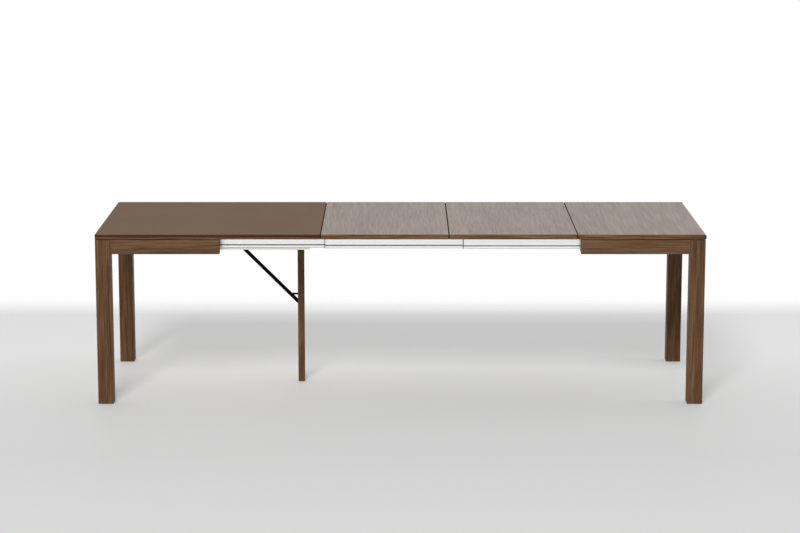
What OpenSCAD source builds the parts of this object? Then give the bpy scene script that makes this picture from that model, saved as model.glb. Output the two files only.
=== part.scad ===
// Extending dining table with a glass top, two loose leaves, telescopic slides and a folding centre leg.
// Millimetres. The origin is on the floor under the middle of the table, +X along it towards the
// sliding end, +Y to the back and +Z up. It is drawn fully extended.

/* [Overall] */
// Height of the table top above the floor
table_h = 750; // [700:5:800]
// Depth of the table from front to back
table_d = 900; // [800:10:1000]

/* [Top] */
// Length of the glass top on the fixed end
glass_l = 970; // [930:5:1100]
// Length of each loose leaf
leaf_l = 550; // [500:5:600]
// Length of the wooden top on the sliding end
end_top_l = 553; // [545:1:600]
// Gap between two neighbouring tops
joint_gap = 4; // [2:0.5:6]
// Drop from the top face to the seals in these gaps
seal_drop = 3.5; // [1:0.5:8]
// Thickness of a leaf, and of the glass with its board
top_t = 21; // [20:0.5:28]
// Thickness of the glass alone
glass_t = 12; // [8:0.5:12]
// Overhang of the end top past its legs
end_overhang = 3; // [1:0.5:6]
// Radius of the rounded edges at the far end of the end top
nose_r = 8; // [4:0.5:10]

/* [Legs] */
// Width of a square corner leg
leg_w = 66; // [55:1:75]
// Radius of a corner leg's upright edges
leg_edge_r = 2.5; // [1:0.5:5]
// Thickness of the glide under a leg
glide_t = 1.5; // [1:0.5:3]
// Radius of the glide under a corner leg
glide_r = 22; // [12:1:26]

/* [Aprons] */
// Thickness of an apron
apron_t = 42.5; // [35:0.5:46]
// Drop from the underside of the top to the bottom of an apron
apron_drop = 65; // [60:1:80]
// Reach of a front or back apron from the end of the frame
apron_reach = 536; // [480:2:560]
// Setback of an apron from the outer face of the legs
apron_setback = 1.5; // [0.5:0.5:4]
// Height of the shadow gap over the legs and aprons of the glass end
glass_shadow = 2.5; // [1:0.5:6]
// Height of the shadow gap over the legs and aprons of the sliding end
end_shadow = 3; // [1:0.5:4]
// Inset of a shadow strip behind the face of its apron
strip_inset = 6; // [3:1:10]

/* [Corner joints] */
// Thickness of a corner brace
brace_t = 22; // [18:1:26]
// Clearance between the inner corner of a leg and its brace
brace_gap = 5.7; // [2:0.1:9]
// Radius of a wooden dowel
dowel_r = 5; // [4:0.5:6]
// Length of a wooden dowel
dowel_l = 50; // [40:2:56]
// Radius of a hanger bolt
bolt_r = 4; // [3:0.5:5]

/* [Slides] */
// Drop from the underside of the top to the bottom of a slide rail
rail_drop = 49; // [46:0.5:56]
// Thickness of a slide rail
rail_t = 13; // [12:0.5:16]
// Gap between two neighbouring slide rails
rail_gap = 1; // [0.8:0.1:1.6]
// Gap between an apron and the outer slide rail
rail_apron_gap = 0.5; // [0.3:0.1:1]
// Thickness of the pads between the leaves and the rails
pad_t = 0.6; // [0.4:0.1:2]
// Distance from the end of the glass to the start of a middle rail
middle_start = 17.5; // [10:0.5:60]
// Overlap of the inner and middle rails when extended
inner_overlap = 270; // [200:5:320]
// Overlap of the middle and outer rails when extended
outer_overlap = 355; // [250:5:400]
// Thickness of the cap on the end of a rail
cap_t = 2.5; // [2:0.5:4]

/* [Storage tray] */
// Thickness of the storage tray
tray_t = 9; // [8:0.5:14]
// Distance from the end of the glass back to the end of the tray
tray_inset = 47; // [20:1:60]

/* [Centre leg] */
// Distance from the end of the glass back to the centre leg
centre_leg_inset = 101; // [90:1:130]
// Width of the centre leg along the table
centre_leg_w = 29; // [24:1:32]
// Depth of the centre leg across the table
centre_leg_d = 40; // [32:1:60]
// Drop from the underside of the tray to the hinge of the centre leg
hinge_drop = 31; // [28:1:36]
// Radius of the hinge pin
hinge_pin_r = 4; // [3:0.5:5]
// Width of the strut between its round ends
strut_w = 16; // [12:0.5:16.5]
// Thickness of the strut
strut_t = 6; // [4:0.5:8]
// Drop from the hinge of the centre leg to the strut's lower pivot
strut_pivot_drop = 283.5; // [260:0.5:300]
// Distance of the strut's lower pivot from the middle of the centre leg
strut_pivot_out = 8; // [4:0.5:10]
// Drop from the underside of the tray to the axle of the strut's rollers
roller_drop = 10; // [9.5:0.1:11]
// Radius of the strut's rollers
roller_r = 6.5; // [5:0.5:7]
// Drop from the hinge of the centre leg to the strut's catch
catch_drop = 242; // [220:1:255]
// Height of the bar of the catch
catch_w = 8; // [6:0.5:10]

/* [Hidden] */
$fn = 48;

// Colours
wood = [0.42, 0.31, 0.24];
dark_wood = [0.33, 0.24, 0.18];
leaf_wood = [0.56, 0.52, 0.49];
inner_wood = [0.78, 0.66, 0.5];
smoked_glass = [0.42, 0.36, 0.3];
cream = [0.96, 0.92, 0.86];
alloy = [0.88, 0.88, 0.88];
steel = [0.62, 0.62, 0.64];
black_steel = [0.05, 0.05, 0.05];
black_plastic = [0.12, 0.12, 0.12];

// Running clearance round a pin, and of a screw, bolt or dowel in its hole
fit = 0.05;
// How far a cutting shape runs past the face that it cuts
past = 1;
// Clearance of a stop from what meets it
touch_gap = 0.3;

// Heights
under_z = table_h - top_t;
apron_z = under_z - apron_drop;
rail_z = under_z - rail_drop;
rail_h = rail_drop - pad_t;
tray_z = rail_z - tray_t;
hinge_z = tray_z - hinge_drop;
roller_z = tray_z - roller_drop;
strut_pivot_h = hinge_z - strut_pivot_drop;
catch_h = hinge_z - catch_drop;

// Places along the table
travel = 2 * (leaf_l + joint_gap);
total_l = glass_l + travel + joint_gap + end_top_l;
left_x = -total_l / 2;
right_x = total_l / 2 - end_overhang;
glass_x = left_x + glass_l;
leaf_left_x = glass_x + joint_gap;
leaf_right_x = leaf_left_x + leaf_l + joint_gap;
end_top_x = leaf_right_x + leaf_l + joint_gap;

// Distances in from the front or back face
apron_v = apron_setback + apron_t;
outer_v = apron_v + rail_apron_gap;
middle_v = outer_v + rail_t + rail_gap;
inner_v = middle_v + rail_t + rail_gap;

// Corner joints: places are measured in from the two outer faces of a corner
brace_sum = 2 * leg_w + brace_gap * sqrt(2);
brace_near = brace_sum - apron_v;
brace_far = brace_near + brace_t * sqrt(2);
brace_face = brace_gap + brace_t;
brace_drop = 61;
brace_z = under_z - brace_drop;
dowel_drops = [17, 49];
bolt_drops = [18, 44];
bolt_in_leg = 28;
bolt_thread = 14;
nut_r = 7.5;
nut_h = 6.5;
washer_r = 9;
washer_t = 1.6;
glide_stem_r = 3;
glide_stem_l = 12;
top_screw_r = 2.5;
top_screw_in = 7;
top_screw_bed = 29;
top_screw_head_r = 4.5;
top_screw_head_h = 3;
top_screw_side = 12;
counterbore_r = 6;
top_screw_far = brace_sum + brace_t * sqrt(2) / 2 - apron_v - top_screw_side;

// Slide rails: one extrusion, with a T groove in its outer face and a T tongue on its inner face
groove_mouth = 4;
groove_w = 8;
groove_lip = 1.6;
groove_depth = 5.2;
groove_up = 13;
tongue_gap = 0.4;
rail_wall = 2;
rail_web_up = 19.5;
rail_screw_up = 33;
inner_rail_lead = 5;
tray_lead = 5.3;
rail_end_gap = 2.3;
middle_end_gap = 6;
tray_x = left_x + brace_far + tray_lead;
tray_end_x = glass_x - tray_inset;
inner_x = tray_x + inner_rail_lead;
middle_x = glass_x + middle_start;
inner_end_x = middle_x + inner_overlap;
outer_end_x = right_x - brace_far - rail_end_gap;
middle_end_x = outer_end_x - travel / 2 - middle_end_gap;
outer_x = middle_end_x - outer_overlap;

// Screws
screw_r = 2;
screw_head_r = 4;
screw_head_h = 1.8;
rail_screw_in = 22;
rail_screw_count = 4;
rail_screw_margin = 40;
board_screw_in = 7;
tray_screw_l = tray_t + rail_wall;
tray_screw_count = 4;
tray_screw_margin = 60;
tray_screw_v = inner_v + rail_t - 2 * rail_wall;

// Brackets that hang the inner rails from the board under the glass
bracket_t = 2.5;
bracket_w = 36;
bracket_leg = 24;
bracket_drop = 29;
bracket_screw_drop = 17;
bracket_screw_in = 10;
bracket_screw_edge = 8;
bracket_screw_v = inner_v + rail_t + bracket_leg - bracket_screw_edge;
bracket_margin = 60;
bracket_count = 3;

// Centre leg, its bracket, strut and catch
centre_x = glass_x - centre_leg_inset;
ear_gap = 0.6;
ear_t = 4;
ear_below = 38;
plate_t = 3;
plate_w = 60;
plate_d = 74;
plate_screw_x = 22;
plate_screw_y = 31;
pin_head_r = 6.5;
pin_head_h = 2.5;
small_glide_r = 11;
strut_y = centre_leg_d / 2 + ear_gap;
strut_end_extra = 0.25;
strut_end_r = strut_w / 2 + strut_end_extra;
strut_mid_y = strut_y + strut_t / 2;
pivot_x = centre_x - strut_pivot_out;
pivot_pin_r = 3;
pivot_pin_in = 24;
pivot_head_r = 6;
pivot_head_h = 2.6;
side_gap = 0.3;
strut_rise = roller_z - strut_pivot_h;
strut_l = strut_rise * sqrt(2);
roller_x = pivot_x - strut_rise;
roller_t = 4;
roller_pin_r = 2.5;
roller_pin_head_r = 3.5;
roller_pin_head_h = 0.8;
catch_end_r = 6;
catch_pin_r = 2.5;

// Channel in which the rollers run
channel_wall = 1.5;
channel_side_gap = 0.7;
channel_h = 14;
channel_in_w = strut_t + 2 * (roller_t + side_gap + roller_pin_head_h + channel_side_gap);
folded_pivot_x = centre_x - strut_pivot_drop;
folded_pivot_z = hinge_z + strut_pivot_out;
folded_roller_x = folded_pivot_x - sqrt(pow(strut_l, 2) - pow(roller_z - folded_pivot_z, 2));
channel_run_out = 15;
channel_x = folded_roller_x - channel_run_out;
channel_end_margin = 6;
channel_end_x = roller_x + strut_end_r + channel_end_margin;
stop_t = 2;
stop_up = 3.5;
channel_screw_count = 3;
channel_screw_margin = 70;

// Pads under the leaves
pad_side = 2;
pad_lead = 30;

// Seals in the gaps between the tops
seal_gap = 0.4;
seal_inset = 1.5;
seal_lift = 1;

// Cross batten between the aprons of the sliding end
batten_w = 50;
batten_t = 15;
batten_lead = 2;

// N places spread evenly from a to b
function spread(a, b, n) = [for (i = [0 : n - 1]) a + (b - a) * i / (n - 1)];
function rail_screw_xs() =
    spread(right_x - apron_reach + rail_screw_margin, outer_end_x - rail_screw_margin, rail_screw_count);
function tray_screw_xs() =
    spread(tray_x + tray_screw_margin, tray_end_x - tray_screw_margin / 2, tray_screw_count);
function bracket_xs() = spread(tray_x + bracket_margin, glass_x - bracket_margin, bracket_count);
function channel_screw_xs() =
    spread(channel_x + channel_screw_margin, channel_end_x - channel_screw_margin / 2, channel_screw_count);

// Draws along the front side, or mirrored along the back: y is the distance in from the face
module at_side(back) {
    mirror([0, back ? 1 : 0, 0])
        translate([0, -table_d / 2, 0])
            children();
}

// Draws in a corner: x and y are the distances in from the two outer faces
module at_corner(right, back) {
    at_side(back)
        translate([right ? right_x : left_x, 0, 0])
            mirror([right ? 1 : 0, 0, 0])
                children();
}

// Extrudes a drawing of x and z along y
module along_y(y0, y1) {
    translate([0, y1, 0])
        rotate([90, 0, 0])
            linear_extrude(y1 - y0)
                children();
}

// Extrudes a drawing of y and z along x
module along_x(x0, x1) {
    translate([x0, 0, 0])
        rotate([90, 0, 90])
            linear_extrude(x1 - x0)
                children();
}

// Round bar along x, y or z, from one point for a length
module bar_x(x, y, z, r, l) {
    translate([x, y, z])
        rotate([0, 90, 0])
            cylinder(r = r, h = l);
}

module bar_y(x, y, z, r, l) {
    translate([x, y, z])
        rotate([-90, 0, 0])
            cylinder(r = r, h = l);
}

module bar_z(x, y, z, r, l) {
    translate([x, y, z])
        cylinder(r = r, h = l);
}

module rounded_rect(w, d, r) {
    translate([r, 0])
        square([w - 2 * r, d]);
    translate([0, r])
        square([w, d - 2 * r]);
    for (x = [r, w - r], y = [r, d - r])
        translate([x, y])
            circle(r);
}

// Screw along +z with the underside of its head at the origin
module screw(r, l, head_r, head_h) {
    translate([0, 0, -head_h]) {
        cylinder(r = r, h = head_h + l);
        cylinder(r = head_r, h = head_h);
    }
}

// Dowels of one corner, or their holes, in the joints of the leg with both aprons
module corner_dowels(r, l) {
    for (drop = dowel_drops) {
        bar_x(leg_w - l / 2, apron_setback + apron_t / 2, under_z - drop, r, l);
        bar_y(apron_setback + apron_t / 2, leg_w - l / 2, under_z - drop, r, l);
    }
}

// Draws on the diagonal of a corner at each bolt: +z runs from the leg's inner corner inwards
module on_diagonal() {
    for (drop = bolt_drops)
        translate([leg_w, leg_w, under_z - drop])
            rotate([0, 0, 45])
                rotate([0, 90, 0])
                    children();
}

module bolt_holes() {
    on_diagonal()
        translate([0, 0, -bolt_in_leg - past])
            cylinder(r = bolt_r + fit, h = bolt_in_leg + brace_face + 2 * past);
}

module at_top_screws() {
    for (p = [[top_screw_far, apron_v + top_screw_side], [apron_v + top_screw_side, top_screw_far]])
        translate([p[0], p[1], under_z - top_screw_bed])
            children();
}

module top_screw_holes() {
    at_top_screws()
        cylinder(r = top_screw_r + fit, h = top_screw_bed + top_screw_in + fit);
}

// Dowel of one end of the cross batten, or its hole, longer at both ends
module batten_dowel(r, extra) {
    bar_y(apron_reach - batten_lead - batten_w / 2, apron_v - dowel_l / 2 - extra,
          apron_z + batten_t / 2, r, dowel_l + 2 * extra);
}

// Height of the shadow gap at one end of the table
function shadow(right) = right ? end_shadow : glass_shadow;

module leg(right, back) {
    color(wood)
        at_corner(right, back)
            difference() {
                translate([0, 0, glide_t])
                    linear_extrude(under_z - shadow(right) - glide_t)
                        rounded_rect(leg_w, leg_w, leg_edge_r);
                corner_dowels(dowel_r + fit, dowel_l + past);
                bolt_holes();
                bar_z(leg_w / 2, leg_w / 2, 0, glide_stem_r + fit, glide_t + glide_stem_l + past);
            }
}

module side_apron(right, back) {
    color(wood)
        at_corner(right, back)
            difference() {
                translate([leg_w, apron_setback, apron_z])
                    cube([apron_reach - leg_w, apron_t, apron_drop - shadow(right)]);
                corner_dowels(dowel_r + fit, dowel_l + past);
                if (right) {
                    batten_dowel(dowel_r + fit, past);
                    for (x = rail_screw_xs())
                        bar_y(right_x - x, apron_v - rail_screw_in, rail_z + rail_screw_up,
                              screw_r + fit, rail_screw_in + past);
                }
            }
}

module end_apron(right) {
    color(wood)
        difference() {
            at_corner(right, false)
                translate([apron_setback, leg_w, apron_z])
                    cube([apron_t, table_d - 2 * leg_w, apron_drop - shadow(right)]);
            for (back = [false, true])
                at_corner(right, back)
                    corner_dowels(dowel_r + fit, dowel_l + past);
        }
}

module brace(right, back) {
    color(inner_wood)
        at_corner(right, back)
            difference() {
                translate([0, 0, brace_z])
                    linear_extrude(brace_drop)
                        polygon([[brace_far, apron_v], [brace_near, apron_v],
                                 [apron_v, brace_near], [apron_v, brace_far]]);
                bolt_holes();
                top_screw_holes();
                at_top_screws()
                    translate([0, 0, -brace_drop])
                        cylinder(r = counterbore_r, h = brace_drop);
            }
}

module frame_dowels(right) {
    color(inner_wood)
        for (back = [false, true])
            at_corner(right, back) {
                corner_dowels(dowel_r, dowel_l);
                if (right)
                    batten_dowel(dowel_r, 0);
            }
}

module hanger_bolts(right) {
    color(steel)
        for (back = [false, true])
            at_corner(right, back)
                on_diagonal()
                    translate([0, 0, -bolt_in_leg])
                        cylinder(r = bolt_r, h = bolt_in_leg + brace_face + bolt_thread);
}

module hanger_nuts(right) {
    color(steel)
        for (back = [false, true])
            at_corner(right, back)
                on_diagonal()
                    translate([0, 0, brace_face])
                        difference() {
                            union() {
                                cylinder(r = washer_r, h = washer_t);
                                cylinder(r = nut_r, h = washer_t + nut_h, $fn = 6);
                            }
                            translate([0, 0, -past])
                                cylinder(r = bolt_r + fit, h = washer_t + nut_h + 2 * past);
                        }
}

module top_screws(right) {
    color(steel)
        for (back = [false, true])
            at_corner(right, back)
                at_top_screws()
                    screw(top_screw_r, top_screw_bed + top_screw_in, top_screw_head_r, top_screw_head_h);
}

module foot_glides(right) {
    color(black_plastic)
        for (back = [false, true])
            at_corner(right, back) {
                bar_z(leg_w / 2, leg_w / 2, 0, glide_r, glide_t);
                bar_z(leg_w / 2, leg_w / 2, 0, glide_stem_r, glide_t + glide_stem_l);
            }
}

// Recessed dark strips that space the top off the legs and aprons
module shadow_strips(right) {
    h = shadow(right);
    w = apron_t - 2 * strip_inset;
    v = apron_setback + strip_inset;
    color(black_plastic) {
        for (back = [false, true])
            at_corner(right, back)
                translate([v, v, under_z - h])
                    cube([apron_reach - strip_inset - v, w, h]);
        at_corner(right, false)
            translate([v, v, under_z - h])
                cube([w, table_d - 2 * v, h]);
    }
}

module glass_board() {
    color(wood)
        difference() {
            translate([left_x, -table_d / 2, under_z])
                cube([glass_l, table_d, top_t - glass_t]);
            for (back = [false, true]) {
                at_corner(false, back)
                    top_screw_holes();
                at_side(back)
                    for (x = bracket_xs())
                        bar_z(x, bracket_screw_v, under_z - past, screw_r + fit, board_screw_in + past);
            }
        }
}

module glass_top() {
    color(smoked_glass)
        translate([left_x, -table_d / 2, table_h - glass_t])
            cube([glass_l, table_d, glass_t]);
}

module end_top() {
    color(leaf_wood)
        difference() {
            along_y(-table_d / 2, table_d / 2)
                translate([end_top_x, under_z]) {
                    square([end_top_l - nose_r, top_t]);
                    translate([0, nose_r])
                        square([end_top_l, top_t - 2 * nose_r]);
                    for (z = [nose_r, top_t - nose_r])
                        translate([end_top_l - nose_r, z])
                            circle(nose_r);
                }
            for (back = [false, true])
                at_corner(true, back)
                    top_screw_holes();
        }
}

// Section of a rail: x is the distance in from its outer face
module rail_outline() {
    difference() {
        square([rail_t, rail_h]);
        translate([-past, groove_up - groove_mouth / 2])
            square([groove_lip + 2 * past, groove_mouth]);
        translate([groove_lip, groove_up - groove_w / 2])
            square([groove_depth - groove_lip, groove_w]);
    }
}

module rail_section() {
    neck_end = rail_t + rail_gap + groove_lip + tongue_gap;
    difference() {
        rail_outline();
        translate([rail_wall, rail_web_up])
            square([rail_t - 2 * rail_wall, rail_h - rail_wall - rail_web_up]);
        translate([groove_depth + rail_wall, rail_wall])
            square([rail_t - groove_depth - 2 * rail_wall, rail_web_up - 2 * rail_wall]);
    }
    translate([rail_t - past / 2, groove_up - groove_mouth / 2 + tongue_gap])
        square([neck_end - rail_t + past, groove_mouth - 2 * tongue_gap]);
    translate([neck_end, groove_up - groove_w / 2 + tongue_gap])
        square([groove_depth - groove_lip - 2 * tongue_gap, groove_w - 2 * tongue_gap]);
}

module rail(v, x0, x1) {
    along_x(x0 + cap_t, x1 - cap_t)
        translate([v, rail_z])
            rail_section();
}

module rail_caps(v, x0, x1) {
    color(black_plastic)
        for (back = [false, true])
            at_side(back)
                for (x = [x0, x1 - cap_t])
                    along_x(x, x + cap_t)
                        translate([v, rail_z])
                            rail_outline();
}

module inner_rail(back) {
    color(alloy)
        at_side(back)
            difference() {
                rail(inner_v, inner_x, inner_end_x);
                for (x = bracket_xs())
                    bar_y(x, inner_v + rail_t - rail_wall - past, under_z - bracket_screw_drop,
                          screw_r + fit, rail_wall + 2 * past);
                for (x = tray_screw_xs())
                    bar_z(x, tray_screw_v, rail_z - past, screw_r + fit, rail_wall + 2 * past);
            }
}

module middle_rail(back) {
    color(alloy)
        at_side(back)
            rail(middle_v, middle_x, middle_end_x);
}

module outer_rail(back) {
    color(alloy)
        at_side(back)
            difference() {
                rail(outer_v, outer_x, outer_end_x);
                for (x = rail_screw_xs()) {
                    bar_y(x, outer_v - past, rail_z + rail_screw_up, screw_r + fit, rail_t);
                    bar_y(x, outer_v + rail_wall + past, rail_z + rail_screw_up,
                          counterbore_r, rail_t);
                }
            }
}

module outer_rail_screws() {
    color(steel)
        for (back = [false, true], x = rail_screw_xs())
            at_side(back)
                translate([x, outer_v + rail_wall, rail_z + rail_screw_up])
                    rotate([90, 0, 0])
                        screw(screw_r, rail_screw_in, screw_head_r, screw_head_h);
}

module rail_brackets() {
    color(steel)
        for (back = [false, true], x = bracket_xs())
            at_side(back)
                difference() {
                    translate([x - bracket_w / 2, inner_v + rail_t, under_z - bracket_drop]) {
                        cube([bracket_w, bracket_t, bracket_drop]);
                        translate([0, 0, bracket_drop - bracket_t])
                            cube([bracket_w, bracket_leg, bracket_t]);
                    }
                    bar_z(x, bracket_screw_v, under_z - bracket_t - past,
                          screw_r + fit, bracket_t + 2 * past);
                    bar_y(x, inner_v + rail_t - past, under_z - bracket_screw_drop,
                          screw_r + fit, bracket_t + 2 * past);
                }
}

module rail_bracket_screws() {
    color(steel)
        for (back = [false, true], x = bracket_xs())
            at_side(back) {
                translate([x, bracket_screw_v, under_z - bracket_t])
                    screw(screw_r, bracket_t + board_screw_in, screw_head_r, screw_head_h);
                translate([x, inner_v + rail_t + bracket_t, under_z - bracket_screw_drop])
                    rotate([90, 0, 0])
                        screw(screw_r, bracket_t + bracket_screw_in, screw_head_r, screw_head_h);
            }
}

module at_plate_screws() {
    for (x = [-plate_screw_x, plate_screw_x], y = [-plate_screw_y, plate_screw_y])
        translate([centre_x + x, y, tray_z])
            children();
}

module at_channel_screws() {
    for (x = channel_screw_xs())
        translate([x, strut_mid_y, tray_z])
            children();
}

module storage_tray() {
    color(cream)
        difference() {
            translate([tray_x, inner_v - table_d / 2, tray_z])
                cube([tray_end_x - tray_x, table_d - 2 * inner_v, tray_t]);
            for (back = [false, true], x = tray_screw_xs())
                at_side(back)
                    bar_z(x, tray_screw_v, tray_z - past, screw_r + fit, tray_t + 2 * past);
            at_plate_screws()
                bar_z(0, 0, -past, screw_r + fit, board_screw_in + past);
            at_channel_screws()
                bar_z(0, 0, -past, screw_r + fit, board_screw_in + past);
        }
}

module underside_screws() {
    color(steel) {
        for (back = [false, true], x = tray_screw_xs())
            at_side(back)
                translate([x, tray_screw_v, tray_z])
                    screw(screw_r, tray_screw_l, screw_head_r, screw_head_h);
        at_plate_screws()
            translate([0, 0, -plate_t])
                screw(screw_r, plate_t + board_screw_in, screw_head_r, screw_head_h);
        at_channel_screws()
            translate([0, 0, -channel_wall])
                screw(screw_r, channel_wall + board_screw_in, screw_head_r, screw_head_h);
    }
}

// Steel bracket with two ears that carries the hinge of the centre leg
module leg_bracket() {
    color(black_steel)
        difference() {
            union() {
                translate([centre_x - plate_w / 2, -plate_d / 2, tray_z - plate_t])
                    cube([plate_w, plate_d, plate_t]);
                for (y = [-strut_y - ear_t, strut_y])
                    along_y(y, y + ear_t)
                        translate([centre_x - centre_leg_w / 2, hinge_z - ear_below])
                            square([centre_leg_w, ear_below + hinge_drop - plate_t / 2]);
            }
            bar_y(centre_x, -plate_d / 2, hinge_z, hinge_pin_r + fit, plate_d);
            at_plate_screws()
                bar_z(0, 0, -plate_t - past, screw_r + fit, plate_t + 2 * past);
        }
}

module leg_hinge_pin() {
    end_y = strut_y + ear_t;
    color(steel) {
        bar_y(centre_x, -end_y - pin_head_h, hinge_z, hinge_pin_r, 2 * (end_y + pin_head_h));
        for (y = [-end_y - pin_head_h, end_y])
            bar_y(centre_x, y, hinge_z, pin_head_r, pin_head_h);
    }
}

// Steel channel, open at the bottom, with a stop for the end of the strut
module roller_channel() {
    color(black_steel)
        difference() {
            union() {
                along_x(channel_x, channel_end_x)
                    translate([strut_mid_y, tray_z])
                        difference() {
                            translate([-channel_in_w / 2 - channel_wall, -channel_h])
                                square([channel_in_w + 2 * channel_wall, channel_h]);
                            translate([-channel_in_w / 2, -channel_h - past])
                                square([channel_in_w, channel_h + past - channel_wall]);
                        }
                translate([roller_x + strut_end_r, strut_mid_y - channel_in_w / 2 - channel_wall / 2,
                           roller_z + stop_up])
                    cube([stop_t, channel_in_w + channel_wall, roller_drop - stop_up - channel_wall / 2]);
            }
            at_channel_screws()
                bar_z(0, 0, -channel_wall - past, screw_r + fit, channel_wall + 2 * past);
        }
}

module cross_batten() {
    color(inner_wood)
        difference() {
            at_corner(true, false)
                translate([apron_reach - batten_lead - batten_w, apron_v, apron_z])
                    cube([batten_w, table_d - 2 * apron_v, batten_t]);
            for (back = [false, true])
                at_corner(true, back)
                    batten_dowel(dowel_r + fit, past);
        }
}

module leaf(x) {
    color(leaf_wood)
        translate([x, -table_d / 2, under_z])
            cube([leaf_l, table_d, top_t]);
}

// Thin pads under a leaf along one pair of rails
module pads(v, x0, x1) {
    color(black_plastic)
        for (back = [false, true])
            at_side(back)
                translate([x0, v + pad_side, rail_z + rail_h])
                    cube([x1 - x0, rail_t - 2 * pad_side, pad_t]);
}

module leaf_left_pads() {
    pads(inner_v, leaf_left_x + pad_lead, inner_end_x - pad_lead);
    pads(middle_v, leaf_left_x + pad_lead, leaf_left_x + leaf_l - pad_lead);
}

module leaf_right_pads() {
    pads(middle_v, leaf_right_x + pad_lead, middle_end_x - pad_lead);
    pads(outer_v, max(leaf_right_x, outer_x) + pad_lead, leaf_right_x + leaf_l - pad_lead);
}

// Dark strip along the edge of a top, from x on, that closes the gap to its neighbour
module seal(x) {
    color(black_plastic)
        translate([x, seal_inset - table_d / 2, under_z + seal_lift])
            cube([joint_gap - seal_gap, table_d - 2 * seal_inset, top_t - seal_lift - seal_drop]);
}

module leaf_left_seals() {
    seal(leaf_left_x - joint_gap + seal_gap);
    seal(leaf_left_x + leaf_l);
}

module end_top_seal() {
    seal(end_top_x - joint_gap + seal_gap);
}

// Leg that folds up to the left under the tray
module centre_leg() {
    color(dark_wood)
        difference() {
            along_y(-centre_leg_d / 2, centre_leg_d / 2) {
                translate([centre_x - centre_leg_w / 2, glide_t])
                    square([centre_leg_w, hinge_z - glide_t]);
                translate([centre_x, hinge_z])
                    circle(centre_leg_w / 2);
            }
            bar_y(centre_x, -centre_leg_d, hinge_z, hinge_pin_r + fit, 2 * centre_leg_d);
            bar_y(pivot_x, centre_leg_d / 2 - pivot_pin_in, strut_pivot_h, pivot_pin_r + fit, centre_leg_d);
            bar_y(centre_x, centre_leg_d / 2 - pivot_pin_in, catch_h, catch_pin_r + fit, centre_leg_d);
            bar_z(centre_x, 0, 0, glide_stem_r + fit, glide_t + glide_stem_l + past);
        }
}

module centre_leg_glide() {
    color(black_plastic) {
        bar_z(centre_x, 0, 0, small_glide_r, glide_t);
        bar_z(centre_x, 0, 0, glide_stem_r, glide_t + glide_stem_l);
    }
}

// Pin in the back of the centre leg, with its head behind the part that turns on it
module shoulder_pin(x, z, r) {
    head_y = strut_y + strut_t + side_gap;
    start_y = centre_leg_d / 2 - pivot_pin_in + fit;
    color(steel) {
        bar_y(x, start_y, z, r, head_y + pivot_head_h - start_y);
        bar_y(x, head_y, z, pivot_head_r, pivot_head_h);
    }
}

module strut_pins() {
    shoulder_pin(pivot_x, strut_pivot_h, pivot_pin_r);
    shoulder_pin(centre_x, catch_h, catch_pin_r);
}

module strut() {
    color(black_steel)
        difference() {
            along_y(strut_y, strut_y + strut_t) {
                translate([pivot_x, strut_pivot_h])
                    circle(strut_end_r);
                translate([roller_x, roller_z])
                    circle(strut_end_r);
                translate([pivot_x, strut_pivot_h])
                    rotate(135)
                        translate([0, -strut_w / 2])
                            square([strut_l, strut_w]);
            }
            bar_y(pivot_x, strut_y - past, strut_pivot_h, pivot_pin_r + fit, strut_t + 2 * past);
            bar_y(roller_x, strut_y - past, roller_z, roller_pin_r + fit, strut_t + 2 * past);
        }
}

module strut_rollers() {
    color([0.9, 0.9, 0.88])
        for (y = [strut_y - side_gap - roller_t, strut_y + strut_t + side_gap])
            difference() {
                bar_y(roller_x, y, roller_z, roller_r, roller_t);
                bar_y(roller_x, y - past, roller_z, roller_pin_r + fit, roller_t + 2 * past);
            }
}

module roller_pin() {
    half = strut_t / 2 + side_gap + roller_t;
    color(steel) {
        bar_y(roller_x, strut_mid_y - half - roller_pin_head_h, roller_z, roller_pin_r,
              2 * (half + roller_pin_head_h));
        for (y = [-half - roller_pin_head_h, half])
            bar_y(roller_x, strut_mid_y + y, roller_z, roller_pin_head_r, roller_pin_head_h);
    }
}

// Where the upper side of the strut, moved out by a gap, lies at a height
function strut_side_x(z, gap) = pivot_x - (z - strut_pivot_h) + (strut_w / 2 + gap) * sqrt(2);

module strut_catch() {
    low = catch_h - catch_w / 2;
    high = catch_h + catch_w / 2;
    color(black_steel)
        difference() {
            along_y(strut_y, strut_y + strut_t) {
                translate([centre_x, catch_h])
                    circle(catch_end_r);
                polygon([[strut_side_x(low, touch_gap), low], [centre_x + catch_end_r / 2, low],
                         [centre_x + catch_end_r / 2, high], [strut_side_x(high, touch_gap), high]]);
            }
            bar_y(centre_x, strut_y - past, catch_h, catch_pin_r + fit, strut_t + 2 * past);
        }
}

leg(false, false);  // leg_front_left
leg(false, true);  // leg_back_left
side_apron(false, false);  // apron_front_left
side_apron(false, true);  // apron_back_left
end_apron(false);  // apron_end_left
brace(false, false);  // brace_front_left
brace(false, true);  // brace_back_left
frame_dowels(false);  // frame_dowels_left
hanger_bolts(false);  // hanger_bolts_left
hanger_nuts(false);  // hanger_nuts_left
top_screws(false);  // top_screws_left
foot_glides(false);  // foot_glides_left
shadow_strips(false);  // shadow_strips_left
glass_board();
glass_top();
inner_rail(false);  // inner_rail_front
inner_rail(true);  // inner_rail_back
rail_caps(inner_v, inner_x, inner_end_x);  // inner_rail_caps
rail_brackets();
rail_bracket_screws();
storage_tray();
underside_screws();
leg_bracket();
leg_hinge_pin();
roller_channel();
middle_rail(false);  // middle_rail_front
middle_rail(true);  // middle_rail_back
rail_caps(middle_v, middle_x, middle_end_x);  // middle_rail_caps
leg(true, false);  // leg_front_right
leg(true, true);  // leg_back_right
side_apron(true, false);  // apron_front_right
side_apron(true, true);  // apron_back_right
end_apron(true);  // apron_end_right
brace(true, false);  // brace_front_right
brace(true, true);  // brace_back_right
frame_dowels(true);  // frame_dowels_right
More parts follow.
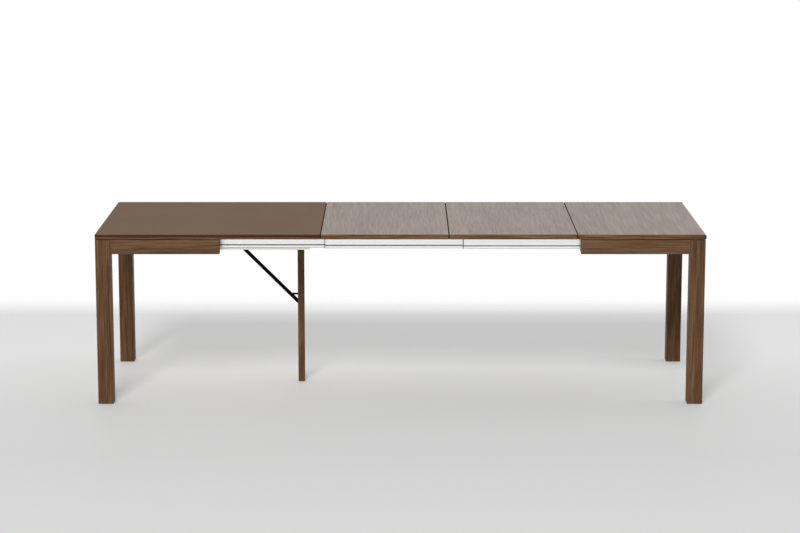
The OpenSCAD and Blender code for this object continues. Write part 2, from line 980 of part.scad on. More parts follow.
hanger_bolts(true);  // hanger_bolts_right
hanger_nuts(true);  // hanger_nuts_right
top_screws(true);  // top_screws_right
foot_glides(true);  // foot_glides_right
shadow_strips(true);  // shadow_strips_right
end_top();
end_top_seal();
outer_rail(false);  // outer_rail_front
outer_rail(true);  // outer_rail_back
rail_caps(outer_v, outer_x, outer_end_x);  // outer_rail_caps
outer_rail_screws();
cross_batten();
leaf(leaf_left_x);  // leaf_left
leaf_left_pads();
leaf_left_seals();
leaf(leaf_right_x);  // leaf_right
leaf_right_pads();
centre_leg();
centre_leg_glide();
strut_pins();
strut();
strut_rollers();
roller_pin();
strut_catch();
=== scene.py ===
"""Looks of the extending dining table: materials, softened edges, floor, light and camera.

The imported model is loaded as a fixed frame, in metres. X runs along the table, Y to the back and
Z up.
"""

import math
import random

import bpy
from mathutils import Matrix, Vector


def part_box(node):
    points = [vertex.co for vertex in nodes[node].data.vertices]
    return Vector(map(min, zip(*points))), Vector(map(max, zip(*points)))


# Camera, found from the table's corners in the photograph: metres, degrees and millimetres
CAMERA_PLACE = (-0.0028, -10.62, 2.501)
CAMERA_PITCH = 10.53
CAMERA_LENS = 107.9
CAMERA_SENSOR = 36.0
CAMERA_REACH = 200.0

# Nodes by kind and by finish
CORNER_LEGS = ("leg_front_left", "leg_back_left", "leg_front_right", "leg_back_right")
LEGS = CORNER_LEGS + ("centre_leg",)
LONG_APRONS = ("apron_front_left", "apron_back_left", "apron_front_right", "apron_back_right")
END_APRONS = ("apron_end_left", "apron_end_right")
WOODEN_TOPS = ("leaf_left", "leaf_right", "end_top")
BEECH_NODES = (
    "brace_front_left", "brace_back_left", "brace_front_right", "brace_back_right",
    "frame_dowels_left", "frame_dowels_right", "cross_batten",
)
RAILS = (
    "inner_rail_front", "inner_rail_back", "middle_rail_front", "middle_rail_back",
    "outer_rail_front", "outer_rail_back",
)
HARDWARE = {
    "zinc": (
        "hanger_bolts_left", "hanger_bolts_right", "hanger_nuts_left", "hanger_nuts_right",
        "top_screws_left", "top_screws_right", "rail_brackets", "rail_bracket_screws",
        "underside_screws", "outer_rail_screws", "leg_hinge_pin", "strut_pins", "roller_pin",
    ),
    "black": ("leg_bracket", "roller_channel", "strut", "strut_catch"),
    "plastic": (
        "inner_rail_caps", "middle_rail_caps", "outer_rail_caps", "shadow_strips_left",
        "shadow_strips_right", "foot_glides_left", "foot_glides_right", "centre_leg_glide",
        "leaf_left_pads", "leaf_right_pads",
    ),
    "seals": ("leaf_left_seals", "end_top_seal"),
    "nylon": ("strut_rollers",),
}

# Softened edges, in metres: the nodes by the width of their round
ARRIS_WIDTHS = {
    0.0004: CORNER_LEGS + ("storage_tray",),
    0.0008: ("glass_top", "glass_board", "centre_leg", "cross_batten"),
    0.001: LONG_APRONS + END_APRONS + WOODEN_TOPS,
    0.00025: RAILS + ("strut", "strut_catch"),
}
ARRIS_STEPS = 2
# Only edges longer and sharper than this are softened, once points this close have been joined
EDGE_LENGTH = 0.006
EDGE_ANGLE = math.radians(35)
WELD_DISTANCE = 0.000005

# Material slots of a panel: its faces, its sides that face X and its sides that face Y
PANEL_FACES = 0
PANEL_ENDS = 1
PANEL_BAND = 2
# Stands for the material of the sides beside an edge
SLOT_OF_SIDES = -1
# A side faces an axis if more than this share of its normal lies along it
FACING = 0.75

# The groove in the outer face of a slide rail, whose inside is painted near black as shade:
# heights above the rail's lowest point, and depths behind that face
GROOVE_BOTTOM = 0.0088
GROOVE_TOP = 0.0172
GROOVE_MARGIN = 0.0002
GROOVE_DEPTH = 0.0056
# Largest share of a groove side's normal that lies along the rail
GROOVE_SLANT = 0.5

# Radius of the rolled lower lip of a slide rail, which only its shading shows
LIP_RADIUS = 0.003

# Where a piece lay in its log. In metres, how far aside of the pith, how far above or below it and at
# most how far along it from the middle. In degrees, its largest tilt against and turn about the grain
PITH_ASIDE = (0.03, 0.07)
PITH_UPWARD = (0.05, 0.11)
ALONG_LOG = 4.0
GRAIN_TILT = 1.6
GRAIN_TURN = 8.0

# First seed of each kind of piece: every piece comes from its own place in a log
LEG_SEED = 11
LONG_APRON_SEED = 21
END_APRON_SEED = 31
BOARD_SEED = 41
VENEER_SEED = 51
BAND_SEED = 61
SIDE_BAND_SEED = 71
BEECH_SEED = 81

# Growth rings: their width in metres, their sway in rings, and the darkness across one ring
RING_WIDTH = 0.0046
RING_SWAY = 3.0
RING_DARKNESS = ((0.0, 0.2), (0.55, 0.42), (0.9, 1.0), (1.0, 0.2))

# Features of the wood in a metre across the grain, and the share of them along each axis of the log
SWAYS = 5.0
CLOUDS = 16.0
STREAKS = 190.0
FIBRES = 560.0
PORES = 1500.0
BROAD_GRAIN = (1, 1, 0.06)
FINE_GRAIN = (1, 1, 0.02)
PORE_GRAIN = (1, 1, 0.05)

# How much each feature counts in the tone of the wood. Rings make it darker, the rest lighter.
STREAK_TONE = 0.5
FIBRE_TONE = 0.5
CLOUD_TONE = 0.2
RING_TONE = 0.16
# Tone between the middle and either end of the colours, and how far the middle is moved to lighten
TONE_SPREAD = 0.17
TONE_LIFT = 0.02

# Noise at which a pore begins and is full, the share of stain in it, and the stain's brightness
# beside the wood's dark colour
PORE_BEGINS = 0.66
PORE_IS_FULL = 0.74
PORE_STAIN = 0.55
PORE_SHADE = 0.45

# Nearly all of a noise lies between these values
NOISE_LOW = 0.3
NOISE_HIGH = 0.7

# Soft light from all round: its strength from the front and from the backdrop, and the Y parts of a
# direction between which it changes from the one to the other
FRONT_LIGHT = 0.2
BACK_LIGHT = 1.0
FRONT_DIRECTION = -0.4
BACK_DIRECTION = 0.5

# Floor, in metres: half its side, and the places along Y where its glow rises and where it fades away
FLOOR_HALF = 14.0
GLOW_RISES = (-1.3, 0.5)
FLOOR_FADES = (1.48, 1.88)
# Strength of the floor's painted-light glow at the front, at the back and as light on other things,
# and how much of the floor's shader it is. It is stronger at the back, where the table shades the floor
FRONT_FLOOR_GLOW = 0.5
BACK_FLOOR_GLOW = 0.98
FLOOR_GLOW_AS_LIGHT = 0.4
FLOOR_GLOW_SHARE = 0.27

# Where the key light and the fill light point
TABLE_MIDDLE = (0, 0, 0.4)


class Graph:
    """The node graph of one material. Most calls add a node and return its output."""

    def __init__(self, name, colour, roughness, metallic=0.0, specular=0.35):
        self.material = bpy.data.materials.new(name)
        self.material.use_nodes = True
        self.material.diffuse_color = (*colour, 1.0)
        self.tree = self.material.node_tree
        self.shader = self.tree.nodes["Principled BSDF"]
        self.set("Base Color", (*colour, 1.0))
        self.set("Roughness", roughness)
        self.set("Metallic", metallic)
        self.set("Specular IOR Level", specular)

    def set(self, socket, value):
        """Gives a socket of the shader a constant or a node's output."""
        self.feed(self.shader.inputs[socket], value)

    def feed(self, socket, value):
        """Gives any socket a constant or a node's output."""
        if isinstance(value, bpy.types.NodeSocket):
            self.tree.links.new(value, socket)
        else:
            socket.default_value = value

    def add(self, kind, **settings):
        """Adds a node and returns the node itself."""
        node = self.tree.nodes.new(kind)
        for name, value in settings.items():
            setattr(node, name, value)
        return node

    def position(self):
        """The shared frame's coordinates at rest, which move with the piece."""
        return self.add("ShaderNodeTexCoord").outputs["Object"]

    def axes(self, vector):
        """The X, Y and Z outputs of a vector."""
        node = self.add("ShaderNodeSeparateXYZ")
        self.feed(node.inputs[0], vector)
        return node.outputs

    def math(self, operation, first, second=0.0):
        node = self.add("ShaderNodeMath", operation=operation)
        self.feed(node.inputs[0], first)
        self.feed(node.inputs[1], second)
        return node.outputs[0]

    def map_range(self, value, low, high, to_low=0.0, to_high=1.0):
        node = self.add("ShaderNodeMapRange")
        self.feed(node.inputs["Value"], value)
        self.feed(node.inputs["From Min"], low)
        self.feed(node.inputs["From Max"], high)
        self.feed(node.inputs["To Min"], to_low)
        self.feed(node.inputs["To Max"], to_high)
        return node.outputs["Result"]

    def mapping(self, vector, location=(0, 0, 0), rotation=(0, 0, 0), scale=(1, 1, 1)):
        node = self.add("ShaderNodeMapping")
        self.feed(node.inputs["Vector"], vector)
        self.feed(node.inputs["Location"], location)
        self.feed(node.inputs["Rotation"], rotation)
        self.feed(node.inputs["Scale"], scale)
        return node.outputs["Vector"]

    def noise(self, vector, scale, detail=2.0, roughness=0.5, stretch=(1, 1, 1)):
        """Noise with so many features in a metre, or fewer along an axis stretched below 1."""
        node = self.add("ShaderNodeTexNoise")
        self.feed(node.inputs["Vector"], self.mapping(vector, scale=stretch))
        self.feed(node.inputs["Scale"], scale)
        self.feed(node.inputs["Detail"], detail)
        self.feed(node.inputs["Roughness"], roughness)
        return node.outputs["Fac"]

    def ramp(self, factor, *stops):
        """Colour ramp: each stop is (place, colour)."""
        node = self.add("ShaderNodeValToRGB")
        elements = node.color_ramp.elements
        while len(elements) < len(stops):
            elements.new(0.5)
        for element, (place, colour) in zip(elements, stops):
            element.position = place
            element.color = (*colour, 1.0)
        self.feed(node.inputs["Fac"], factor)
        return node.outputs["Color"]

    def mix(self, factor, first, second):
        node = self.add("ShaderNodeMix", data_type="RGBA")
        self.feed(node.inputs["Factor"], factor)
        self.feed(node.inputs["A"], first)
        self.feed(node.inputs["B"], second)
        return node.outputs["Result"]

    def blend(self, factor, first, second):
        """Mixes two shaders."""
        node = self.add("ShaderNodeMixShader")
        self.feed(node.inputs[0], factor)
        self.feed(node.inputs[1], first)
        self.feed(node.inputs[2], second)
        return node.outputs[0]

    def tint(self, noise, first, second):
        """Lets the base colour wander between two colours."""
        self.set("Base Color", self.mix(noise, (*first, 1.0), (*second, 1.0)))

    def polish(self, noise, low, high):
        """Lets the roughness wander between two values."""
        self.set("Roughness", self.map_range(noise, NOISE_LOW, NOISE_HIGH, low, high))

    def bump(self, height, distance, strength=1.0, under=None):
        """Bumps the surface, on top of the normal of another bump where one is given."""
        node = self.add("ShaderNodeBump")
        self.feed(node.inputs["Height"], height)
        self.feed(node.inputs["Distance"], distance)
        self.feed(node.inputs["Strength"], strength)
        if under is not None:
            self.feed(node.inputs["Normal"], under)
        self.set("Normal", node.outputs["Normal"])
        return node.outputs["Normal"]


def linear(red, green, blue):
    """An sRGB colour from 0 to 255 as the shader's linear colour."""
    def channel(value):
        share = value / 255
        return share / 12.92 if share <= 0.04045 else ((share + 0.055) / 1.055) ** 2.4
    return (channel(red), channel(green), channel(blue))


def scaled(colour, factor):
    return tuple(min(1.0, channel * factor) for channel in colour)


def tinted(colour, factors):
    return tuple(channel * factor for channel, factor in zip(colour, factors))


# Dark, middle and light colour of each wood. Aprons and edge bands use a lighter, greyer copy of the
# legs' walnut: the extra lightness and greyness is painted light.
WALNUT = (linear(58, 38, 23), linear(90, 64, 43), linear(118, 89, 63))
PAINTED_LIGHT_TINT = (1.15, 1.19, 1.26)
WALNUT_WITH_PAINTED_LIGHT = tuple(tinted(colour, PAINTED_LIGHT_TINT) for colour in WALNUT)
# Veneer of the tops: walnut made greyer and lighter by a painted sheen, standing in for the white
# reflection seen at a low angle, on top of the lacquer's own gloss
TOP_WALNUT_AND_SHEEN = (linear(69, 49, 39), linear(100, 79, 64), linear(129, 110, 94))
BEECH = (linear(176, 138, 98), linear(205, 170, 128), linear(222, 192, 154))


def in_the_log(graph, grain, centre, seed):
    """Coordinates in the log that a piece was cut from: grain along Z, pith at the origin."""
    draw = random.Random(seed)
    location = (
        draw.uniform(*PITH_ASIDE) * draw.choice((-1, 1)),
        draw.uniform(*PITH_UPWARD) * draw.choice((-1, 1)),
        draw.uniform(-ALONG_LOG, ALONG_LOG),
    )
    rotation = (
        math.radians(draw.uniform(-GRAIN_TILT, GRAIN_TILT)),
        math.radians(draw.uniform(-GRAIN_TILT, GRAIN_TILT)),
        math.radians(draw.uniform(-GRAIN_TURN, GRAIN_TURN)),
    )
    axes = graph.axes(graph.mapping(graph.position(), location=-centre))
    order = {"x": (1, 2, 0), "y": (2, 0, 1), "z": (0, 1, 2)}[grain]
    combine = graph.add("ShaderNodeCombineXYZ")
    for slot, source in enumerate(order):
        graph.feed(combine.inputs[slot], axes[source])
    return graph.mapping(combine.outputs[0], location=location, rotation=rotation)


def ring_darkness(graph, place):
    """Darkness of the growth rings around the pith, which sway a little along the log."""
    across = graph.add("ShaderNodeVectorMath", operation="MULTIPLY")
    graph.feed(across.inputs[0], place)
    graph.feed(across.inputs[1], (1, 1, 0))
    radius = graph.add("ShaderNodeVectorMath", operation="LENGTH")
    graph.feed(radius.inputs[0], across.outputs["Vector"])
    turns = graph.math("DIVIDE", radius.outputs["Value"], RING_WIDTH)
    sway = graph.noise(place, SWAYS, stretch=BROAD_GRAIN)
    swayed = graph.math("ADD", turns, graph.math("MULTIPLY", sway, RING_SWAY))
    stops = ((share, (darkness,) * 3) for share, darkness in RING_DARKNESS)
    return graph.ramp(graph.math("FRACT", swayed), *stops)


def wood(
    name, grain, centre, seed, colours,
    contrast=1.1, roughness=0.5, ring_share=0.35, pores=1.0, specular=0.06,
):
    """Satin lacquered hardwood with growth rings, fibres and open pores along the grain."""
    dark, middle, light = colours
    graph = Graph(name, middle, roughness, specular=specular)
    place = in_the_log(graph, grain, centre, seed)

    rings = graph.math("MULTIPLY", ring_darkness(graph, place), RING_TONE * ring_share)
    streak = graph.noise(place, STREAKS, roughness=0.55, stretch=FINE_GRAIN)
    fibre = graph.noise(place, FIBRES, detail=4.0, roughness=0.65, stretch=FINE_GRAIN)
    cloud = graph.noise(place, CLOUDS, stretch=BROAD_GRAIN)
    streaks = graph.math("MULTIPLY", streak, STREAK_TONE)
    plain = graph.math("ADD", streaks, graph.math("MULTIPLY", fibre, FIBRE_TONE))
    ringed = graph.math("SUBTRACT", plain, rings)
    tone = graph.math("ADD", ringed, graph.math("MULTIPLY", cloud, CLOUD_TONE))
    even = (STREAK_TONE + FIBRE_TONE + CLOUD_TONE - RING_TONE * ring_share) / 2
    level = even - TONE_LIFT
    spread = TONE_SPREAD / contrast
    share = graph.map_range(tone, level - spread, level + spread)
    colour = graph.ramp(share, (0.0, dark), (0.5, middle), (1.0, light))

    pore_noise = graph.noise(place, PORES, detail=1.0, stretch=PORE_GRAIN)
    pore = graph.math("MULTIPLY", graph.map_range(pore_noise, PORE_BEGINS, PORE_IS_FULL), pores)
    stain = graph.math("MULTIPLY", pore, PORE_STAIN)
    graph.set("Base Color", graph.mix(stain, colour, (*scaled(dark, PORE_SHADE), 1.0)))
    graph.polish(fibre, roughness - 0.05, roughness + 0.07)
    height = graph.math("SUBTRACT", graph.math("MULTIPLY", fibre, 0.5), pore)
    graph.bump(height, distance=0.00006, strength=0.5)
    return graph.material


def back_painted_glass():
    """Etched glass, lacquered brown on its underside."""
    graph = Graph("satin_brown_glass", linear(95, 71, 49), 0.57, specular=0.08)
    haze = graph.noise(graph.position(), 3.0, detail=3.0)
    speck = graph.noise(graph.position(), 2600.0, detail=1.0)
    graph.tint(haze, linear(93, 69, 47), linear(97, 73, 51))
    graph.polish(haze, 0.52, 0.58)
    graph.bump(speck, distance=0.00002, strength=0.35)
    return graph.material


def glass_edge(box):
    """The polished edge: a deep tinted body between the lacquer below and the arris above."""
    low, high = box
    graph = Graph("polished_glass_edge", linear(75, 47, 28), 0.25, specular=0.12)
    body = graph.ramp(
        graph.map_range(graph.axes(graph.position())["Z"], low.z, high.z),
        (0.0, linear(46, 26, 14)),
        (0.14, linear(68, 41, 23)),
        (0.7, linear(62, 36, 20)),
        (1.0, linear(86, 56, 34)),
    )
    wave = graph.noise(graph.position(), 14.0, stretch=(1, 1, 0.3))
    graph.set("Base Color", graph.mix(wave, body, (*linear(64, 38, 21), 1.0)))
    graph.polish(wave, 0.2, 0.3)
    return graph.material


def anodised(name, lowest):
    """Satin anodised aluminium: faint drawing lines along the profile, and a rolled lower lip."""
    graph = Graph(f"satin_anodised_{name}", (0.91, 0.91, 0.912), 0.29, metallic=0.95)
    lines = graph.noise(graph.position(), 2400.0, roughness=0.6, stretch=(0.004, 1, 1))
    cloud = graph.noise(graph.position(), 20.0, stretch=(0.2, 1, 1))
    graph.tint(cloud, (0.9, 0.9, 0.902), (0.92, 0.92, 0.922))
    graph.polish(lines, 0.27, 0.31)
    height = graph.axes(graph.position())["Z"]
    drop = graph.map_range(height, lowest + LIP_RADIUS, lowest)
    rise = graph.math("SQRT", graph.math("SUBTRACT", 1.0, graph.math("MULTIPLY", drop, drop)))
    rolled = graph.bump(rise, LIP_RADIUS)
    graph.bump(lines, distance=0.000006, strength=0.1, under=rolled)
    return graph.material


def cream_board():
    """Melamine faced board, with the fine pearl of its pressing plate."""
    graph = Graph("cream_melamine", linear(255, 246, 230), 0.35, specular=1.0)
    pearl = graph.noise(graph.position(), 1100.0)
    cloud = graph.noise(graph.position(), 12.0)
    graph.tint(cloud, linear(254, 245, 229), linear(255, 248, 234))
    graph.polish(pearl, 0.3, 0.4)
    graph.bump(pearl, distance=0.00003, strength=0.3)
    return graph.material


def zinc_steel():
    """Bright zinc plate, slightly mottled."""
    graph = Graph("zinc_plated_steel", (0.62, 0.63, 0.65), 0.3, metallic=1.0)
    mottle = graph.noise(graph.position(), 160.0, detail=3.0, roughness=0.6)
    graph.tint(mottle, (0.54, 0.55, 0.58), (0.7, 0.7, 0.7))
    graph.polish(mottle, 0.22, 0.4)
    graph.bump(mottle, distance=0.00003, strength=0.2)
    return graph.material


def black_steel():
    """Black powder coat with its fine orange peel."""
    graph = Graph("black_powder_coat", (0.0016, 0.0016, 0.0016), 0.6, specular=0.06)
    peel = graph.noise(graph.position(), 900.0)
    cloud = graph.noise(graph.position(), 30.0)
    graph.tint(cloud, (0.0012, 0.0012, 0.0012), (0.002, 0.002, 0.002))
    graph.polish(peel, 0.54, 0.66)
    graph.bump(peel, distance=0.00006, strength=0.4)
    return graph.material


def moulded_plastic(name, colour, roughness, specular=0.35):
    """Moulded plastic with a fine spark-eroded texture."""
    graph = Graph(name, colour, roughness, specular=specular)
    grain = graph.noise(graph.position(), 1700.0)
    cloud = graph.noise(graph.position(), 40.0)
    graph.tint(cloud, scaled(colour, 0.9), scaled(colour, 1.1))
    graph.polish(grain, roughness - 0.06, roughness + 0.06)
    graph.bump(grain, distance=0.00004, strength=0.4)
    return graph.material


def centre_of(node):
    low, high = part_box(node)
    return (low + high) / 2


def paint(node, material):
    """Gives a whole node one material."""
    nodes[node].data.materials.clear()
    nodes[node].data.materials.append(material)


def paint_panel(node, faces, ends, band):
    """Gives a panel one material on its faces, one on its ends along X and one on its sides along Y."""
    mesh = nodes[node].data
    mesh.materials.clear()
    for material in (faces, ends, band):
        mesh.materials.append(material)
    for polygon in mesh.polygons:
        if abs(polygon.normal.x) > FACING:
            polygon.material_index = PANEL_ENDS
        elif abs(polygon.normal.y) > FACING:
            polygon.material_index = PANEL_BAND
        else:
            polygon.material_index = PANEL_FACES


def shade_groove(node, groove_shade):
    """Paints the faces inside the groove in a rail's outer face near black, as painted shade."""
    mesh = nodes[node].data
    shade_slot = len(mesh.materials)
    mesh.materials.append(groove_shade)
    low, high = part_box(node)
    front = node.endswith("front")
    for polygon in mesh.polygons:
        depth = polygon.center.y - low.y if front else high.y - polygon.center.y
        height = polygon.center.z - low.z
        inside = GROOVE_MARGIN < depth < GROOVE_DEPTH and GROOVE_BOTTOM < height < GROOVE_TOP
        if inside and abs(polygon.normal.x) < GROOVE_SLANT:
            polygon.material_index = shade_slot


def mesh_group(name):
    """A node group that takes a mesh and gives one, with its input and its output node."""
    group = bpy.data.node_groups.new(name, "GeometryNodeTree")
    for way in ("INPUT", "OUTPUT"):
        group.interface.new_socket("Geometry", in_out=way, socket_type="NodeSocketGeometry")
    return group, group.nodes.new("NodeGroupInput"), group.nodes.new("NodeGroupOutput")


def greater_than(group, value, limit):
    """The output that is 1 where a value is above a limit."""
    node = group.nodes.new("ShaderNodeMath")
    node.operation = "GREATER_THAN"
    group.links.new(value, node.inputs[0])
    node.inputs[1].default_value = limit
    return node.outputs[0]


def sharp_edges(group):
    """The output that is 1 on the sharp edges of a mesh."""
    angle = group.nodes.new("GeometryNodeInputMeshEdgeAngle")
    return greater_than(group, angle.outputs["Unsigned Angle"], EDGE_ANGLE)


def edge_group():
    """Welds a node's mesh and marks its long sharp edges for the bevel."""
    group, source, target = mesh_group("mark_long_edges")
    weld = group.nodes.new("GeometryNodeMergeByDistance")
    weld.inputs["Distance"].default_value = WELD_DISTANCE
    ends = group.nodes.new("GeometryNodeInputMeshEdgeVertices")
    span = group.nodes.new("ShaderNodeVectorMath")
    span.operation = "DISTANCE"
    both = group.nodes.new("ShaderNodeMath")
    both.operation = "MULTIPLY"
    store = group.nodes.new("GeometryNodeStoreNamedAttribute")
    store.data_type = "FLOAT"
    store.domain = "EDGE"
    store.inputs["Name"].default_value = "bevel_weight_edge"
    link = group.links.new
    link(source.outputs[0], weld.inputs["Geometry"])
    link(weld.outputs["Geometry"], store.inputs["Geometry"])
    link(ends.outputs["Position 1"], span.inputs[0])
    link(ends.outputs["Position 2"], span.inputs[1])
    link(sharp_edges(group), both.inputs[0])
    link(greater_than(group, span.outputs["Value"], EDGE_LENGTH), both.inputs[1])
    link(both.outputs[0], store.inputs["Value"])
    link(store.outputs["Geometry"], target.inputs[0])
    return group


def shading_group():
    """Shades a mesh smooth, apart from its remaining sharp edges."""
    group, source, target = mesh_group("smooth_by_angle")
    normals = group.nodes.new("GeometryNodeSetMeshNormal")
    normals.mode = "SHARPNESS"
    normals.inputs["Remove Custom"].default_value = True
    normals.inputs["Face Sharpness"].default_value = False
    link = group.links.new
    link(source.outputs[0], normals.inputs["Mesh"])
    link(sharp_edges(group), normals.inputs["Edge Sharpness"])
    link(normals.outputs["Mesh"], target.inputs[0])
    return group


def soften(node, width, slot=SLOT_OF_SIDES):
    """Breaks the long edges of a node by a small round, which takes the material of a slot."""
    piece = nodes[node]
    piece.modifiers.new("marks", "NODES").node_group = MARKS
    bevel = piece.modifiers.new("arris", "BEVEL")
    bevel.limit_method = "WEIGHT"
    bevel.width = width
    bevel.segments = ARRIS_STEPS
    bevel.material = slot
    bevel.use_clamp_overlap = False
    bevel.loop_slide = False
    piece.modifiers.new("shading", "NODES").node_group = SHADING
    weighted = piece.modifiers.new("weighted", "WEIGHTED_NORMAL")
    weighted.keep_sharp = True


def dress_walnut():
    """Legs and aprons with their grain along them, and the thin board under the glass."""
    for seed, node in enumerate(LEGS, LEG_SEED):
        paint(node, wood(f"walnut_{node}", "z", centre_of(node), seed, WALNUT))
    # The aprons take the walnut lightened by painted light.
    for seed, node in enumerate(LONG_APRONS, LONG_APRON_SEED):
        paint(node, wood(f"walnut_{node}", "x", centre_of(node), seed, WALNUT_WITH_PAINTED_LIGHT, contrast=0.9))
    for seed, node in enumerate(END_APRONS, END_APRON_SEED):
        paint(node, wood(f"walnut_{node}", "y", centre_of(node), seed, WALNUT_WITH_PAINTED_LIGHT))
    centre = centre_of("glass_board")
    lengthways = wood("walnut_board_lengthways", "x", centre, BOARD_SEED, WALNUT)
    crossways = wood("walnut_board_crossways", "y", centre, BOARD_SEED + 1, WALNUT)
    paint_panel("glass_board", lengthways, crossways, lengthways)


def dress_tops():
    """Glass top. Leaves and end top: veneer with its grain from front to back, and edge bands."""
    edge = glass_edge(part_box("glass_top"))
    paint_panel("glass_top", back_painted_glass(), edge, edge)
    for number, node in enumerate(WOODEN_TOPS):
        centre = centre_of(node)
        veneer = wood(
            f"walnut_veneer_{node}", "y", centre, VENEER_SEED + number, TOP_WALNUT_AND_SHEEN,
            contrast=1.3, roughness=0.36, ring_share=0.25, specular=0.4,
        )
        # The edge bands take the walnut lightened by painted light.
        band = wood(f"walnut_band_{node}", "x", centre, BAND_SEED + number, WALNUT_WITH_PAINTED_LIGHT)
        side_seed = SIDE_BAND_SEED + number
        side_band = wood(f"walnut_side_band_{node}", "y", centre, side_seed, WALNUT_WITH_PAINTED_LIGHT)
        paint_panel(node, veneer, side_band, band)


def dress_beech():
    """Corner braces, dowels and cross batten."""
    for seed, node in enumerate(BEECH_NODES, BEECH_SEED):
        grain = "y" if node == "cross_batten" else "x"
        beech = wood(
            f"beech_{node}", grain, centre_of(node), seed, BEECH,
            contrast=0.8, ring_share=0.4, pores=0.3,
        )
        paint(node, beech)


def dress_hardware():
    """The tray, the rails and everything of steel or plastic."""
    paint("storage_tray", cream_board())
    finishes = {
        "zinc": zinc_steel(),
        "black": black_steel(),
        "plastic": moulded_plastic("dark_grey_plastic", (0.012, 0.0105, 0.0095), 0.55),
        "seals": moulded_plastic("dark_brown_seal", (0.005, 0.0032, 0.0025), 0.75, specular=0.05),
        "nylon": moulded_plastic("natural_nylon", (0.72, 0.7, 0.64), 0.4),
    }
    for finish, members in HARDWARE.items():
        for node in members:
            paint(node, finishes[finish])
    # Near-black paint for the inside of each rail's groove: painted shade
    groove_shade = moulded_plastic("painted_groove_shade", (0.01, 0.01, 0.01), 0.5)
    for node in RAILS:
        paint(node, anodised(node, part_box(node)[0].z))
        shade_groove(node, groove_shade)


def soften_edges():
    """Rounds the long edges of the larger pieces, on the wooden tops in the edge band's material."""
    for width, members in ARRIS_WIDTHS.items():
        for node in members:
            soften(node, width, PANEL_BAND if node in WOODEN_TOPS else SLOT_OF_SIDES)


def make_floor():
    """A pale studio floor that fades into the white backdrop, with a glow of painted light."""
    bpy.ops.mesh.primitive_plane_add(size=2.0)
    floor = bpy.context.object
    floor.name = "studio_floor"
    floor.scale = (FLOOR_HALF, FLOOR_HALF, 1.0)
    graph = Graph("pale_floor", (0.61, 0.61, 0.61), 0.6, specular=0.2)
    # The plane's own coordinates run from -1 to 1, so they are scaled as it is
    place = graph.mapping(graph.position(), scale=(FLOOR_HALF, FLOOR_HALF, 1.0))
    depth = graph.axes(place)["Y"]
    seen_glow = graph.map_range(depth, *GLOW_RISES, FRONT_FLOOR_GLOW, BACK_FLOOR_GLOW)
    bounce = graph.add("ShaderNodeLightPath").outputs["Is Diffuse Ray"]
    glow = graph.add("ShaderNodeEmission")
    strength = graph.map_range(bounce, 0.0, 1.0, seen_glow, FLOOR_GLOW_AS_LIGHT)
    graph.feed(glow.inputs["Strength"], strength)
    lit = graph.blend(FLOOR_GLOW_SHARE, graph.shader.outputs[0], glow.outputs[0])
    clear = graph.add("ShaderNodeBsdfTransparent").outputs[0]
    faded = graph.blend(graph.map_range(depth, *FLOOR_FADES), lit, clear)
    graph.feed(graph.tree.nodes["Material Output"].inputs["Surface"], faded)
    floor.data.materials.append(graph.material)


def make_world():
    """White backdrop, and a soft light from all round that is strongest from the backdrop."""
    world = bpy.data.worlds.new("studio")
    bpy.context.scene.world = world
    world.use_nodes = True
    tree = world.node_tree
    tree.nodes.clear()
    output = tree.nodes.new("ShaderNodeOutputWorld")
    blend = tree.nodes.new("ShaderNodeMixShader")
    ray = tree.nodes.new("ShaderNodeLightPath")
    direction = tree.nodes.new("ShaderNodeTexCoord")
    separate = tree.nodes.new("ShaderNodeSeparateXYZ")
    strength = tree.nodes.new("ShaderNodeMapRange")
    strength.inputs["From Min"].default_value = FRONT_DIRECTION
    strength.inputs["From Max"].default_value = BACK_DIRECTION
    strength.inputs["To Min"].default_value = FRONT_LIGHT
    strength.inputs["To Max"].default_value = BACK_LIGHT
    lit = tree.nodes.new("ShaderNodeBackground")
    seen = tree.nodes.new("ShaderNodeBackground")
    seen.inputs["Strength"].default_value = 1.0
    for background in (lit, seen):
        background.inputs["Color"].default_value = (1.0, 1.0, 1.0, 1.0)
    link = tree.links.new
    link(direction.outputs["Generated"], separate.inputs[0])
    link(separate.outputs["Y"], strength.inputs["Value"])
    link(strength.outputs["Result"], lit.inputs["Strength"])
    link(ray.outputs["Is Camera Ray"], blend.inputs[0])
    link(lit.outputs[0], blend.inputs[1])
    link(seen.outputs[0], blend.inputs[2])
    link(blend.outputs[0], output.inputs[0])


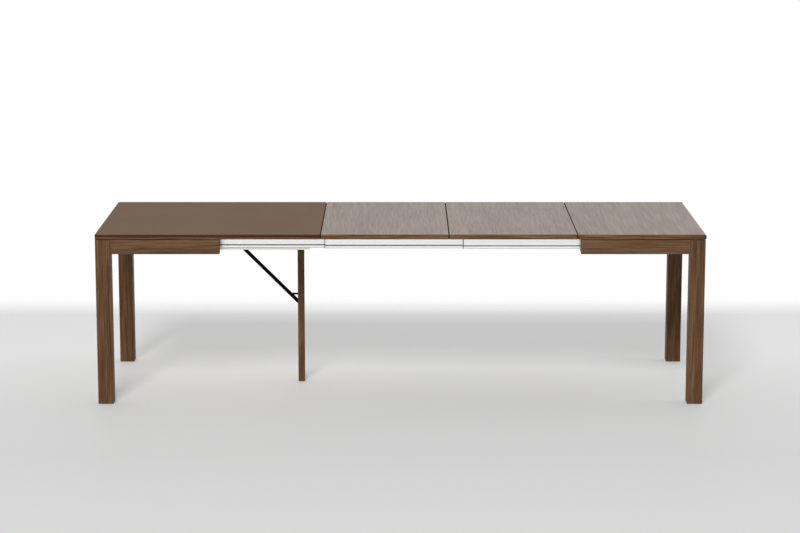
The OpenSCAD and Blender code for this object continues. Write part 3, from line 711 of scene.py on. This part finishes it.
def add_softbox(name, place, target, size, power, gloss_only=False):
    """A rectangular light that the camera doesn't see. With gloss_only it lights no matt surface."""
    light = bpy.data.lights.new(name, "AREA")
    light.shape = "RECTANGLE"
    light.size, light.size_y = size
    light.energy = power
    holder = bpy.data.objects.new(name, light)
    holder.location = place
    aim = Vector(target) - Vector(place)
    holder.rotation_euler = aim.to_track_quat("-Z", "Y").to_euler()
    holder.visible_camera = False
    holder.visible_diffuse = not gloss_only
    bpy.context.scene.collection.objects.link(holder)


def make_lights():
    """A large softbox high at the front left, a weak fill for the right end, and a low card whose
    reflection shows in the metal."""
    add_softbox("key", (-2.8, -15.0, 12.0), TABLE_MIDDLE, size=(5.2, 5.0), power=3020)
    add_softbox("fill", (9.0, 0.6, 2.4), TABLE_MIDDLE, size=(5.0, 3.0), power=170)
    add_softbox(
        "card", (0.0, -5.0, 0.05), (0.0, -5.0, 1.0), size=(9.0, 4.4), power=64, gloss_only=True
    )


def make_camera():
    camera = bpy.data.objects.new("camera", bpy.data.cameras.new("camera"))
    camera.location = CAMERA_PLACE
    camera.rotation_euler = (math.radians(90 - CAMERA_PITCH), 0, 0)
    camera.data.sensor_width = CAMERA_SENSOR
    camera.data.lens = CAMERA_LENS
    camera.data.clip_end = CAMERA_REACH
    bpy.context.scene.collection.objects.link(camera)
    bpy.context.scene.camera = camera


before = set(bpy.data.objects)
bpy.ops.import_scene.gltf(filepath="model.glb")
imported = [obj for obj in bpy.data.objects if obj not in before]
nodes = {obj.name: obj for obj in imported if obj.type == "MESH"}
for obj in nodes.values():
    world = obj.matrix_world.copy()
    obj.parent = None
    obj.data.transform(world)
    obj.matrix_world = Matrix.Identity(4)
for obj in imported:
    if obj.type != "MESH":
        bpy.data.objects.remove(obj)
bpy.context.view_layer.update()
MARKS = edge_group()
SHADING = shading_group()

dress_walnut()
dress_tops()
dress_beech()
dress_hardware()
soften_edges()

bpy.context.scene.view_settings.view_transform = "Standard"
make_floor()
make_world()
make_lights()
make_camera()
